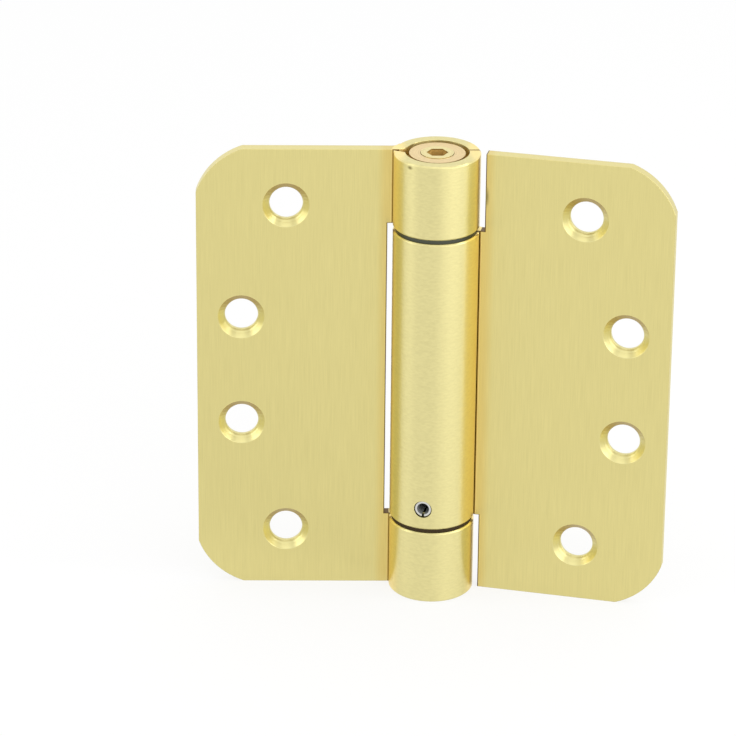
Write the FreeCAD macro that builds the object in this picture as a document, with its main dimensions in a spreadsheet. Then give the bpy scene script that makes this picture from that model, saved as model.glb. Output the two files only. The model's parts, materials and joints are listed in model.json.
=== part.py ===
"""A self-closing spring door hinge, 4 x 4 inches with 5/8 inch corners, standing open on its lower end.

The frame leaf, on -X, is one sheet with a knuckle rolled at each end of the barrel. The door leaf, on +X,
is one sheet with a single long knuckle rolled between them. A torsion spring in the long knuckle is held
at its lower end by an anchor that a slotted spring pin fixes to the door leaf, and at its upper end by a
spindle that a serrated plug locks to the frame leaf. A hex key pushes the plug down, out of the lock
sleeve's teeth, and turns it with the spindle to set the closing force.

Millimetres. The origin is on the barrel's axis at its lower end, +Z runs up the barrel, and the frame
leaf lies in a plane parallel to XZ with its countersunk face towards -Y.
"""

import FreeCAD, Part
import math
import os

import Sketcher

SIZES = [
    # The two leaves
    ("hinge_height", 101.6),
    ("leaf_width", 50.8),
    ("leaf_thickness", 2.4),
    ("face_offset", 1.0),
    ("corner_radius", 15.875),
    ("corner_inset", 15.0),
    ("rest_angle", -13.9),
    # The rolled knuckles
    ("barrel_radius", 9.2),
    ("bend_radius", 1.5),
    ("seam_gap", 0.35),
    ("seam_lean", 1.1),
    ("slot_clearance", 1.1),
    ("knuckle_length", 16.6),
    ("knuckle_gap", 0.9),
    ("rim_chamfer", 0.3),
    ("rim_sweep_angle", 330.0),
    # The screw holes, four to a leaf, placed from its outer edge and its ends
    ("near_hole_inset", 19.05),
    ("near_hole_end_inset", 12.7),
    ("far_hole_inset", 9.5),
    ("far_hole_spacing", 24.8),
    ("screw_hole_diameter", 7.1),
    ("countersink_diameter", 10.0),
    ("countersink_angle", 82.0),
    # Clearances that the inner pieces share
    ("press_clearance", 0.02),
    ("running_clearance", 0.05),
    ("axial_clearance", 0.05),
    # Bearings
    ("journal_radius", 4.5),
    ("flange_recess", 0.5),
    ("bush_length", 7.6),
    ("foot_bush_length", 11.0),
    ("thrust_washer_thickness", 1.0),
    ("thrust_washer_border", 0.2),
    ("cap_thickness", 2.0),
    ("cap_to_journal", 1.0),
    ("cap_chamfer", 0.4),
    # The lock: sleeve, plug and spindle
    ("sleeve_recess", 0.25),
    ("sleeve_trench_width", 0.85),
    ("sleeve_trench_depth", 2.2),
    ("sleeve_lip_radius", 3.6),
    ("sleeve_lip_thickness", 1.2),
    ("sleeve_wall", 0.75),
    ("tooth_count", 24),
    ("tooth_bore_radius", 4.2),
    ("tooth_depth", 0.55),
    ("tooth_width", 0.9),
    ("tooth_clearance", 0.1),
    ("tooth_length", 3.2),
    ("lock_travel", 3.0),
    ("plug_rise", 0.1),
    ("plug_lip_clearance", 0.1),
    ("plug_skirt", 2.9),
    ("hex_across_flats", 4.0),
    ("hex_depth", 5.0),
    ("socket_depth", 8.0),
    # The torsion spring and what holds its ends
    ("spring_wire", 2.2),
    ("spring_turns", 16),
    ("spring_bore_clearance", 0.3),
    ("spring_end_clearance", 0.15),
    ("spring_tang_overhang", 3.4),
    ("stub_clearance", 0.2),
    ("stub_length", 3.3),
    ("stub_slot_clearance", 0.2),
    # The anchor and its slotted spring pin
    ("anchor_length", 13.5),
    ("anchor_pin_height", 4.8),
    ("anchor_pin_diameter", 3.5),
    ("anchor_pin_wall", 0.45),
    ("anchor_pin_slit", 0.5),
    ("anchor_pin_recess", 0.4),
    ("anchor_pin_reach", 5.0),
    ("anchor_pin_window", 3.9),
    # The small spring under the plug
    ("lock_wire", 0.7),
    ("lock_turns", 3),
    ("lock_spring_clearance", 0.25),
]

document = FreeCAD.newDocument("SpringHinge")
sheet = document.addObject("Spreadsheet::Sheet", "Sizes")
for row, (alias, number) in enumerate(SIZES, start=1):
    sheet.set(f"A{row}", alias)
    sheet.set(f"B{row}", str(number))
    sheet.setAlias(f"B{row}", alias)
document.recompute()

# The Sketcher's own numbers for a sketch's axes, for the points of a curve and for the origin
AXIS_OF_X, AXIS_OF_Y = range(-1, -3, -1)
START, END, CENTRE = range(1, 4)
ORIGIN = (AXIS_OF_X, START)

FRAME_SIDE, DOOR_SIDE = -1, 1
FACETS_PER_TURN = 16

# Places along the barrel and radii that several pieces share, as expressions of the sheet's sizes
BORE = "(Sizes.barrel_radius - Sizes.leaf_thickness)"
FITTED = f"({BORE} - Sizes.press_clearance)"
JOURNAL_BORE = "(Sizes.journal_radius + Sizes.running_clearance)"
FLANGE = "(Sizes.barrel_radius - Sizes.flange_recess)"
LOWER_GAP = "Sizes.knuckle_length"
DOOR_FOOT = "(Sizes.knuckle_length + Sizes.knuckle_gap)"
DOOR_HEAD = "(Sizes.hinge_height - Sizes.knuckle_length - Sizes.knuckle_gap)"
UPPER_GAP = "(Sizes.hinge_height - Sizes.knuckle_length)"
SLEEVE_TOP = "(Sizes.hinge_height - Sizes.sleeve_recess)"
TEETH_TOP = f"({SLEEVE_TOP} - Sizes.sleeve_lip_thickness)"
TEETH_FOOT = f"({TEETH_TOP} - Sizes.tooth_length)"
TOOTH_ROOT = "(Sizes.tooth_bore_radius + Sizes.tooth_depth)"
HEAD_RADIUS = f"({FITTED} - Sizes.sleeve_wall - Sizes.tooth_clearance)"
HEAD_TOP = f"({TEETH_FOOT} - Sizes.tooth_clearance)"
HEAD_FOOT = f"({UPPER_GAP} + Sizes.thrust_washer_thickness + 2 * Sizes.axial_clearance)"
SOCKET_FLOOR = f"({HEAD_TOP} - Sizes.socket_depth)"
PLUG_TEETH_TOP = f"({TEETH_TOP} - Sizes.tooth_clearance)"
PLUG_FOOT = f"({TEETH_FOOT} - Sizes.plug_skirt)"
PLUG_TOP = f"({SLEEVE_TOP} + Sizes.plug_rise)"
UPPER_BUSH_FOOT = f"({DOOR_HEAD} - Sizes.bush_length)"
SPRING_TOP = f"({UPPER_BUSH_FOOT} - Sizes.spring_end_clearance)"
ANCHOR_SHOULDER = f"({DOOR_FOOT} + Sizes.anchor_length)"
SPRING_FOOT = f"({ANCHOR_SHOULDER} + Sizes.spring_end_clearance)"
SPRING_OUTER = f"({BORE} - Sizes.spring_bore_clearance)"
STUB_RADIUS = f"({SPRING_OUTER} - Sizes.spring_wire - Sizes.stub_clearance)"
ANCHOR_PIN_LEVEL = f"({DOOR_FOOT} + Sizes.anchor_pin_height)"


def size(alias):
    """A driving dimension as a plain number."""
    return float(getattr(sheet, alias))


def new_body(label):
    """An empty body with its node's name."""
    body = document.addObject("PartDesign::Body", label)
    body.Label = label
    return body


def turn_with_door_leaf(piece):
    """Turns a piece about the barrel's axis by the angle at which the door leaf rests."""
    piece.Placement = FreeCAD.Placement(FreeCAD.Vector(), FreeCAD.Rotation(FreeCAD.Vector(0, 0, 1), 1))
    piece.setExpression("Placement.Rotation.Angle", "Sizes.rest_angle")


def new_sketch(body, name, role, offset=None):
    """A sketch on one of the body's own origin planes, moved along the plane's normal by offset."""
    sketch = body.newObject("Sketcher::SketchObject", name)
    base_plane = next(p for p in body.Origin.OriginFeatures if p.Role == role)
    sketch.AttachmentSupport = (base_plane, [""])
    sketch.MapMode = "FlatFace"
    if offset:
        sketch.setExpression("AttachmentOffset.Base.z", offset)
    return sketch


def dimension(sketch, kind, *where, to):
    """A dimension in the sketch, driven by an expression of the sheet's sizes."""
    now = float(sketch.evalExpression(to))
    index = sketch.addConstraint(Sketcher.Constraint(kind, *where, now))
    sketch.setExpression(f"Constraints[{index}]", to)


def place(sketch, geometry, position, across, up):
    """Dimensions one point of the sketch from the origin, with an axis for a distance of nothing."""
    for kind, axis, distance in (
        ("DistanceX", AXIS_OF_Y, across),
        ("DistanceY", AXIS_OF_X, up),
    ):
        if distance is None:
            sketch.addConstraint(Sketcher.Constraint("PointOnObject", geometry, position, axis))
        else:
            dimension(sketch, kind, *ORIGIN, geometry, position, to=distance)


def polygon(sketch, corners):
    """A closed run of lines whose corners are pairs of expressions, None for a distance of nothing."""
    count = len(corners)
    points = [
        FreeCAD.Vector(*(float(sketch.evalExpression(distance or "0")) for distance in corner), 0)
        for corner in corners
    ]
    first = sketch.GeometryCount
    for n in range(count):
        sketch.addGeometry(Part.LineSegment(points[n], points[(n + 1) % count]), False)
    for n in range(count):
        following = first + (n + 1) % count
        sketch.addConstraint(Sketcher.Constraint("Coincident", first + n, END, following, START))
    for n, (across, up) in enumerate(corners):
        place(sketch, first + n, START, across, up)


def turned(label, corners):
    """A body turned about the barrel's axis, from the (radius, height) corners of half its section."""
    body = new_body(label)
    section = new_sketch(body, f"{label}_section", "XZ_Plane")
    polygon(section, corners)
    turning = body.newObject("PartDesign::Revolution", f"{label}_turning")
    turning.Profile = section
    turning.ReferenceAxis = (section, ["V_Axis"])
    turning.Angle = 360
    document.recompute()
    return body


def pocket_down(body, sketch, name, depth):
    """A pocket cut from its sketch against the plane's normal."""
    cut = body.newObject("PartDesign::Pocket", name)
    cut.Profile = sketch
    cut.setExpression("Length", depth)
    document.recompute()
    return cut


def repeat_round_axis(body, feature, name, times):
    """Repeats a feature round the barrel's axis, and makes the pattern the body's last feature."""
    pattern = body.newObject("PartDesign::PolarPattern", name)
    pattern.Originals = [feature]
    axis = next(a for a in body.Origin.OriginFeatures if a.Role == "Z_Axis")
    pattern.Axis = (axis, [""])
    pattern.Angle = 360
    pattern.setExpression("Occurrences", times)
    body.Tip = pattern
    document.recompute()
    return pattern


def leaf_plate(body, side):
    """The flat of a leaf. Its outer corners are cut to a radius that meets the edges at a slight angle."""
    sign = "" if side == DOOR_SIDE else "-"
    width, height = size("leaf_width"), size("hinge_height")
    inner = size("barrel_radius") + size("slot_clearance")
    radius, inset = size("corner_radius"), size("corner_inset")
    start = inset - math.sqrt(radius**2 - inset**2)
    sweep_start = math.atan2(start - inset, -inset)
    sweep_end = math.atan2(-inset, start - inset)

    def at(across, up):
        return FreeCAD.Vector(side * across, up, 0)

    def corner(centre_up, first, second):
        circle = Part.Circle(at(width - inset, centre_up), FreeCAD.Vector(0, 0, 1), radius)
        return Part.ArcOfCircle(circle, first, second)

    low = (sweep_start, sweep_end)
    high = (-sweep_end, -sweep_start)
    if side == DOOR_SIDE:
        low = (math.pi - sweep_end, math.pi - sweep_start)
        high = (math.pi + sweep_start, math.pi + sweep_end)
    outline = new_sketch(body, f"{body.Label}_outline", "XZ_Plane", "-Sizes.face_offset")
    outline.addGeometry(
        [
            Part.LineSegment(at(inner, 0), at(width - start, 0)),
            corner(inset, *low),
            Part.LineSegment(at(width, start), at(width, height - start)),
            corner(height - inset, *high),
            Part.LineSegment(at(width - start, height), at(inner, height)),
            Part.LineSegment(at(inner, height), at(inner, 0)),
        ],
        False,
    )
    bottom, low_arc, outer, high_arc, top, inner_edge = range(6)
    near, far = (END, START) if side == FRAME_SIDE else (START, END)
    for joint in (
        (bottom, END, low_arc, near),
        (low_arc, far, outer, START),
        (outer, END, high_arc, near),
        (high_arc, far, top, START),
        (top, END, inner_edge, START),
        (inner_edge, END, bottom, START),
    ):
        outline.addConstraint(Sketcher.Constraint("Coincident", *joint))
    for line in (bottom, top):
        outline.addConstraint(Sketcher.Constraint("Horizontal", line))
    for line in (outer, inner_edge):
        outline.addConstraint(Sketcher.Constraint("Vertical", line))
    outline.addConstraint(Sketcher.Constraint("PointOnObject", bottom, START, AXIS_OF_X))
    dimension(outline, "DistanceY", *ORIGIN, top, START, to="Sizes.hinge_height")
    dimension(outline, "DistanceX", *ORIGIN, outer, START, to=f"{sign}Sizes.leaf_width")
    inner_reach = f"{sign}(Sizes.barrel_radius + Sizes.slot_clearance)"
    dimension(outline, "DistanceX", *ORIGIN, inner_edge, START, to=inner_reach)
    for arc, level in (
        (low_arc, "Sizes.corner_inset"),
        (high_arc, "Sizes.hinge_height - Sizes.corner_inset"),
    ):
        place(outline, arc, CENTRE, f"{sign}(Sizes.leaf_width - Sizes.corner_inset)", level)
        dimension(outline, "Radius", arc, to="Sizes.corner_radius")
    plate = body.newObject("PartDesign::Pad", f"{body.Label}_plate")
    plate.Profile = outline
    plate.Reversed = True
    plate.setExpression("Length", "Sizes.leaf_thickness")
    document.recompute()


def knuckle(body, side, name, foot, length):
    """One knuckle: the sheet leaves the leaf's flat, bends back and rolls over the rear of the barrel."""
    outer, inner = size("barrel_radius"), size("barrel_radius") - size("leaf_thickness")
    bend, sheet_thickness = size("bend_radius"), size("leaf_thickness")
    front, back = size("face_offset"), size("face_offset") + size("leaf_thickness")
    flat_end = outer + size("slot_clearance")
    bend_height = back + bend
    bend_reach = math.sqrt((outer + bend) ** 2 - bend_height**2)
    leaving = math.atan2(bend_height, bend_reach)
    closing = math.asin((front - size("seam_gap")) / outer)
    closing_inside = math.asin((front - size("seam_gap") - size("seam_lean")) / inner)

    def at(across, up):
        return FreeCAD.Vector(side * across, up, 0)

    def polar(radius, angle):
        return at(radius * math.cos(angle), radius * math.sin(angle))

    def arc(centre, radius, begin, finish):
        """The arc that turns the short or long way round so as to keep the barrel's rear closed."""
        circle = Part.Circle(centre, FreeCAD.Vector(0, 0, 1), radius)
        first, second = (circle.parameter(begin), circle.parameter(finish))
        while second <= first:
            second += math.tau
        return Part.ArcOfCircle(circle, first, second)

    centre, bend_centre = at(0, 0), at(bend_reach, bend_height)
    rolled_from, rolled_to = polar(outer, leaving), polar(outer, closing)
    bored_from, bored_to = polar(inner, leaving), polar(inner, closing_inside)
    bend_back, bend_front = at(bend_reach, back), at(bend_reach, front)
    sketch = new_sketch(body, f"{name}_section", "XY_Plane", foot)
    if side == DOOR_SIDE:
        curves = [
            arc(bend_centre, bend, rolled_from, bend_back),
            arc(centre, outer, rolled_from, rolled_to),
            arc(centre, inner, bored_from, bored_to),
            arc(bend_centre, bend + sheet_thickness, bored_from, bend_front),
        ]
    else:
        curves = [
            arc(bend_centre, bend, bend_back, rolled_from),
            arc(centre, outer, rolled_to, rolled_from),
            arc(centre, inner, bored_to, bored_from),
            arc(bend_centre, bend + sheet_thickness, bend_front, bored_from),
        ]
    sketch.addGeometry(
        [
            Part.LineSegment(at(flat_end, back), bend_back),
            *curves[:2],
            Part.LineSegment(rolled_to, bored_to),
            *curves[2:],
            Part.LineSegment(bend_front, at(flat_end, front)),
            Part.LineSegment(at(flat_end, front), at(flat_end, back)),
        ],
        False,
    )
    rear_flat, rear_bend, rolled, seam, bored, front_bend, front_flat, root = range(8)
    near, far = (START, END) if side == FRAME_SIDE else (END, START)
    for joint in (
        (rear_flat, END, rear_bend, near),
        (rear_bend, far, rolled, far if side == FRAME_SIDE else START),
        (bored, END if side == FRAME_SIDE else START, front_bend, far),
        (front_bend, near, front_flat, START),
    ):
        sketch.addConstraint(Sketcher.Constraint("Tangent", *joint))
    for joint in (
        (rolled, near, seam, START),
        (seam, END, bored, near),
        (front_flat, END, root, START),
        (root, END, rear_flat, START),
    ):
        sketch.addConstraint(Sketcher.Constraint("Coincident", *joint))
    for line, direction in ((rear_flat, "Horizontal"), (front_flat, "Horizontal"), (root, "Vertical")):
        sketch.addConstraint(Sketcher.Constraint(direction, line))
    for round_face in (rolled, bored):
        sketch.addConstraint(Sketcher.Constraint("Coincident", round_face, CENTRE, *ORIGIN))
    for round_face, radius in (
        (rolled, "Sizes.barrel_radius"),
        (bored, BORE),
        (rear_bend, "Sizes.bend_radius"),
        (front_bend, "Sizes.bend_radius + Sizes.leaf_thickness"),
    ):
        dimension(sketch, "Radius", round_face, to=radius)
    sign = "" if side == DOOR_SIDE else "-"
    root_reach = f"{sign}(Sizes.barrel_radius + Sizes.slot_clearance)"
    dimension(sketch, "DistanceX", *ORIGIN, root, START, to=root_reach)
    dimension(sketch, "DistanceY", *ORIGIN, root, START, to="Sizes.face_offset")
    dimension(sketch, "DistanceY", root, START, root, END, to="Sizes.leaf_thickness")
    seam_level = "Sizes.face_offset - Sizes.seam_gap"
    dimension(sketch, "DistanceY", *ORIGIN, seam, START, to=seam_level)
    dimension(sketch, "DistanceY", *ORIGIN, seam, END, to=f"{seam_level} - Sizes.seam_lean")
    roll = body.newObject("PartDesign::Pad", name)
    roll.Profile = sketch
    roll.setExpression("Length", length)
    document.recompute()


def screw_holes(body, side):
    """Four holes countersunk from the leaf's front face, two near the barrel and two near the edge."""
    sign = "" if side == DOOR_SIDE else "-"
    sketch = new_sketch(body, f"{body.Label}_hole_centres", "XZ_Plane", "-Sizes.face_offset")
    radius = size("screw_hole_diameter") / 2
    near_reach = f"{sign}(Sizes.leaf_width - Sizes.near_hole_inset)"
    far_reach = f"{sign}(Sizes.leaf_width - Sizes.far_hole_inset)"
    places = [
        (near_reach, "Sizes.near_hole_end_inset"),
        (near_reach, "Sizes.hinge_height - Sizes.near_hole_end_inset"),
        (far_reach, "Sizes.hinge_height / 2 - Sizes.far_hole_spacing / 2"),
        (far_reach, "Sizes.hinge_height / 2 + Sizes.far_hole_spacing / 2"),
    ]
    for n, (across, up) in enumerate(places):
        centre = FreeCAD.Vector(*(float(sketch.evalExpression(distance)) for distance in (across, up)), 0)
        sketch.addGeometry(Part.Circle(centre, FreeCAD.Vector(0, 0, 1), radius), False)
        place(sketch, n, CENTRE, across, up)
        dimension(sketch, "Radius", n, to="Sizes.screw_hole_diameter / 2")
    document.recompute()
    holes = body.newObject("PartDesign::Hole", f"{body.Label}_screw_holes")
    holes.Profile = sketch
    document.recompute()
    holes.ThreadType = "None"
    holes.DepthType = "ThroughAll"
    holes.HoleCutType = "Countersink"
    holes.setExpression("Diameter", "Sizes.screw_hole_diameter")
    holes.setExpression("HoleCutDiameter", "Sizes.countersink_diameter")
    holes.setExpression("HoleCutCountersinkAngle", "Sizes.countersink_angle")
    document.recompute()


def chamfer_rims(body, side, rims):
    """Breaks the knuckles' outer rims along the roll, from the XZ plane to just short of the bend."""
    sign = "" if side == DOOR_SIDE else "-"
    sketch = new_sketch(body, f"{body.Label}_rim_sections", "XZ_Plane")
    inner = f"{sign}(Sizes.barrel_radius - Sizes.rim_chamfer)"
    skin = f"{sign}Sizes.barrel_radius"
    outside = f"{sign}(Sizes.barrel_radius + Sizes.rim_chamfer)"
    for level, inwards in rims:
        outwards = "-" if inwards == "+" else "+"
        beyond = f"{level} {outwards} Sizes.rim_chamfer"
        below_rim = f"{level} {inwards} Sizes.rim_chamfer"
        outer_corners = [(outside, beyond), (outside, below_rim), (skin, below_rim)]
        polygon(sketch, [(inner, level), (inner, beyond), *outer_corners])
    chamfers = body.newObject("PartDesign::Groove", f"{body.Label}_rims")
    chamfers.Profile = sketch
    chamfers.ReferenceAxis = (sketch, ["V_Axis"])
    chamfers.setExpression("Angle", "Sizes.rim_sweep_angle")
    chamfers.Reversed = side == DOOR_SIDE
    document.recompute()


def make_frame_leaf():
    """The leaf that screws to the door frame, with the upper and the lower knuckle."""
    body = new_body("frame_leaf")
    leaf_plate(body, FRAME_SIDE)
    knuckle(body, FRAME_SIDE, "lower_knuckle", None, "Sizes.knuckle_length")
    knuckle(body, FRAME_SIDE, "upper_knuckle", UPPER_GAP, "Sizes.knuckle_length")
    screw_holes(body, FRAME_SIDE)
    rims = [("0", "+"), (LOWER_GAP, "-"), (UPPER_GAP, "+"), ("Sizes.hinge_height", "-")]
    chamfer_rims(body, FRAME_SIDE, rims)


def make_door_leaf():
    """The leaf that screws to the door, with the long knuckle and the window for the anchor's pin."""
    body = new_body("door_leaf")
    leaf_plate(body, DOOR_SIDE)
    knuckle(body, DOOR_SIDE, "long_knuckle", DOOR_FOOT, f"{DOOR_HEAD} - {DOOR_FOOT}")
    screw_holes(body, DOOR_SIDE)
    chamfer_rims(body, DOOR_SIDE, [(DOOR_FOOT, "+"), (DOOR_HEAD, "-")])
    sketch = new_sketch(body, "pin_window_circle", "XZ_Plane")
    sketch.addGeometry(Part.Circle(FreeCAD.Vector(0, 1, 0), FreeCAD.Vector(0, 0, 1), 1), False)
    place(sketch, 0, CENTRE, None, ANCHOR_PIN_LEVEL)
    dimension(sketch, "Radius", 0, to="Sizes.anchor_pin_window / 2")
    window = body.newObject("PartDesign::Pocket", "pin_window")
    window.Profile = sketch
    window.Reversed = True
    window.setExpression("Length", "Sizes.barrel_radius * 2")
    document.recompute()
    turn_with_door_leaf(body)


def make_bearings():
    """Flanged bushes whose flanges fill the gaps between knuckles, a thrust washer and the lower cap."""
    lower_flange_foot = f"({LOWER_GAP} + Sizes.axial_clearance)"
    lower_flange_top = f"({DOOR_FOOT} - Sizes.axial_clearance)"
    turned(
        "lower_bush",
        [
            (JOURNAL_BORE, f"{LOWER_GAP} - Sizes.foot_bush_length"),
            (FITTED, f"{LOWER_GAP} - Sizes.foot_bush_length"),
            (FITTED, lower_flange_foot),
            (FLANGE, lower_flange_foot),
            (FLANGE, lower_flange_top),
            (JOURNAL_BORE, lower_flange_top),
        ],
    )
    upper_flange_foot = f"({DOOR_HEAD} + Sizes.axial_clearance)"
    upper_flange_top = f"({UPPER_GAP} - Sizes.axial_clearance)"
    turned(
        "upper_bush",
        [
            (JOURNAL_BORE, UPPER_BUSH_FOOT),
            (FITTED, UPPER_BUSH_FOOT),
            (FITTED, upper_flange_foot),
            (FLANGE, upper_flange_foot),
            (FLANGE, upper_flange_top),
            (JOURNAL_BORE, upper_flange_top),
        ],
    )
    washer_foot = f"({UPPER_GAP} + Sizes.axial_clearance)"
    washer_top = f"({washer_foot} + Sizes.thrust_washer_thickness)"
    washer_outer = f"({FITTED} - Sizes.thrust_washer_border)"
    washer_inner = f"({JOURNAL_BORE} + Sizes.thrust_washer_border)"
    turned(
        "thrust_washer",
        [
            (washer_inner, washer_foot),
            (washer_outer, washer_foot),
            (washer_outer, washer_top),
            (washer_inner, washer_top),
        ],
    )
    turned(
        "lower_cap",
        [
            (None, None),
            (f"{FITTED} - Sizes.cap_chamfer", None),
            (FITTED, "Sizes.cap_chamfer"),
            (FITTED, "Sizes.cap_thickness"),
            (None, "Sizes.cap_thickness"),
        ],
    )


def groove_outline(sketch, bottom_radius, tip_radius, half_width):
    """One triangular tooth or tooth space, pointing outwards along X."""
    polygon(
        sketch,
        [
            (bottom_radius, f"-({half_width})"),
            (tip_radius, None),
            (bottom_radius, half_width),
        ],
    )


def cut_lock_teeth(body, top, length):
    """Cuts the V-shaped spaces of an inner serration, downwards from a level."""
    # The space starts a little inside the bore, where its flanks are as much wider as they slope
    overlap = "Sizes.tooth_clearance"
    wider = f"Sizes.tooth_width / 2 * (1 + {overlap} / Sizes.tooth_depth)"
    sketch = new_sketch(body, f"{body.Label}_tooth_space", "XY_Plane", top)
    groove_outline(sketch, f"Sizes.tooth_bore_radius - {overlap}", TOOTH_ROOT, wider)
    space = pocket_down(body, sketch, f"{body.Label}_first_space", length)
    repeat_round_axis(body, space, f"{body.Label}_serration", "Sizes.tooth_count")


def make_lock_sleeve():
    """The sleeve pressed into the upper knuckle: an inner serration under a lip that keeps the plug in."""
    trench_foot = f"({SLEEVE_TOP} - Sizes.sleeve_trench_depth)"
    trench_radius = f"({FITTED} - Sizes.sleeve_trench_width)"
    head_room = f"({FITTED} - Sizes.sleeve_wall)"
    sleeve_foot = f"({HEAD_FOOT} + Sizes.axial_clearance)"
    body = turned(
        "lock_sleeve",
        [
            (head_room, sleeve_foot),
            (FITTED, sleeve_foot),
            (FITTED, trench_foot),
            (trench_radius, trench_foot),
            (trench_radius, SLEEVE_TOP),
            ("Sizes.sleeve_lip_radius", SLEEVE_TOP),
            ("Sizes.sleeve_lip_radius", TEETH_TOP),
            ("Sizes.tooth_bore_radius", TEETH_TOP),
            ("Sizes.tooth_bore_radius", TEETH_FOOT),
            (head_room, TEETH_FOOT),
        ],
    )
    cut_lock_teeth(body, TEETH_TOP, "Sizes.tooth_length")


def make_lock_plug():
    """The plug that the hex key pushes and turns: teeth outside, a hex socket in its raised boss."""
    boss_radius = "(Sizes.sleeve_lip_radius - Sizes.plug_lip_clearance)"
    core_radius = "(Sizes.tooth_bore_radius - Sizes.tooth_clearance)"
    body = turned(
        "lock_plug",
        [
            (None, PLUG_FOOT),
            (core_radius, PLUG_FOOT),
            (core_radius, PLUG_TEETH_TOP),
            (boss_radius, PLUG_TEETH_TOP),
            (boss_radius, PLUG_TOP),
            (None, PLUG_TOP),
        ],
    )
    # Each tooth is the sleeve's tooth space, made smaller all round by the clearance
    slope = "(Sizes.tooth_width / 2 / Sizes.tooth_depth)"
    base_radius = f"({core_radius} - Sizes.tooth_clearance)"
    tip_radius = f"({TOOTH_ROOT} - Sizes.tooth_clearance / {slope})"
    sketch = new_sketch(body, "plug_tooth", "XY_Plane", PLUG_FOOT)
    groove_outline(sketch, base_radius, tip_radius, f"({tip_radius} - {base_radius}) * {slope}")
    tooth = body.newObject("PartDesign::Pad", "plug_first_tooth")
    tooth.Profile = sketch
    tooth.setExpression("Length", f"{PLUG_TEETH_TOP} - {PLUG_FOOT}")
    document.recompute()
    repeat_round_axis(body, tooth, "plug_teeth", "Sizes.tooth_count")
    hexagon = new_sketch(body, "hex_socket_outline", "XY_Plane", PLUG_TOP)
    half = "Sizes.hex_across_flats / 2"
    corner = f"({half} / cos(30 deg))"
    polygon(
        hexagon,
        [
            (corner, None),
            (f"{corner} / 2", half),
            (f"-{corner} / 2", half),
            (f"-{corner}", None),
            (f"-{corner} / 2", f"-{half}"),
            (f"{corner} / 2", f"-{half}"),
        ],
    )
    pocket_down(body, hexagon, "hex_socket", "Sizes.hex_depth")


def cut_tang_slot(body, name, level, reversed_cut):
    """A slot straight across the end of a stub, which takes the spring's tang."""
    half = "(Sizes.spring_wire + Sizes.stub_slot_clearance) / 2"
    across = f"({STUB_RADIUS} + Sizes.stub_clearance)"
    sketch = new_sketch(body, f"{name}_outline", "XY_Plane", level)
    polygon(
        sketch,
        [
            (across, half),
            (f"-{across}", half),
            (f"-{across}", f"-{half}"),
            (across, f"-{half}"),
        ],
    )
    slot = body.newObject("PartDesign::Pocket", name)
    slot.Profile = sketch
    slot.Reversed = reversed_cut
    slot.setExpression("Length", "Sizes.stub_length")
    document.recompute()


def make_tension_spindle():
    """The spindle: a serrated socket for the plug, a journal and a slotted stub for the upper tang."""
    stub_foot = f"({UPPER_BUSH_FOOT} - Sizes.stub_length)"
    body = turned(
        "tension_spindle",
        [
            (None, stub_foot),
            (STUB_RADIUS, stub_foot),
            (STUB_RADIUS, UPPER_BUSH_FOOT),
            ("Sizes.journal_radius", UPPER_BUSH_FOOT),
            ("Sizes.journal_radius", HEAD_FOOT),
            (HEAD_RADIUS, HEAD_FOOT),
            (HEAD_RADIUS, HEAD_TOP),
            ("Sizes.tooth_bore_radius", HEAD_TOP),
            ("Sizes.tooth_bore_radius", SOCKET_FLOOR),
            (None, SOCKET_FLOOR),
        ],
    )
    cut_lock_teeth(body, HEAD_TOP, "Sizes.socket_depth")
    cut_tang_slot(body, "spindle_slot", stub_foot, True)


def make_spring_anchor():
    """The anchor pinned in the long knuckle: a journal and, above it, a slotted stub for the lower tang."""
    stub_top = f"({ANCHOR_SHOULDER} + Sizes.stub_length)"
    journal_foot = "(Sizes.cap_thickness + Sizes.cap_to_journal)"
    body = turned(
        "spring_anchor",
        [
            (None, journal_foot),
            ("Sizes.journal_radius", journal_foot),
            ("Sizes.journal_radius", DOOR_FOOT),
            (FITTED, DOOR_FOOT),
            (FITTED, ANCHOR_SHOULDER),
            (STUB_RADIUS, ANCHOR_SHOULDER),
            (STUB_RADIUS, stub_top),
            (None, stub_top),
        ],
    )
    cut_tang_slot(body, "anchor_slot", stub_top, False)
    sketch = new_sketch(body, "cross_hole_circle", "XZ_Plane")
    sketch.addGeometry(Part.Circle(FreeCAD.Vector(0, 1, 0), FreeCAD.Vector(0, 0, 1), 1), False)
    place(sketch, 0, CENTRE, None, ANCHOR_PIN_LEVEL)
    dimension(sketch, "Radius", 0, to="Sizes.anchor_pin_diameter / 2 + Sizes.press_clearance")
    cross_hole = body.newObject("PartDesign::Pocket", "cross_hole")
    cross_hole.Profile = sketch
    cross_hole.Midplane = True
    cross_hole.setExpression("Length", "Sizes.barrel_radius * 2")
    document.recompute()
    turn_with_door_leaf(body)


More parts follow.
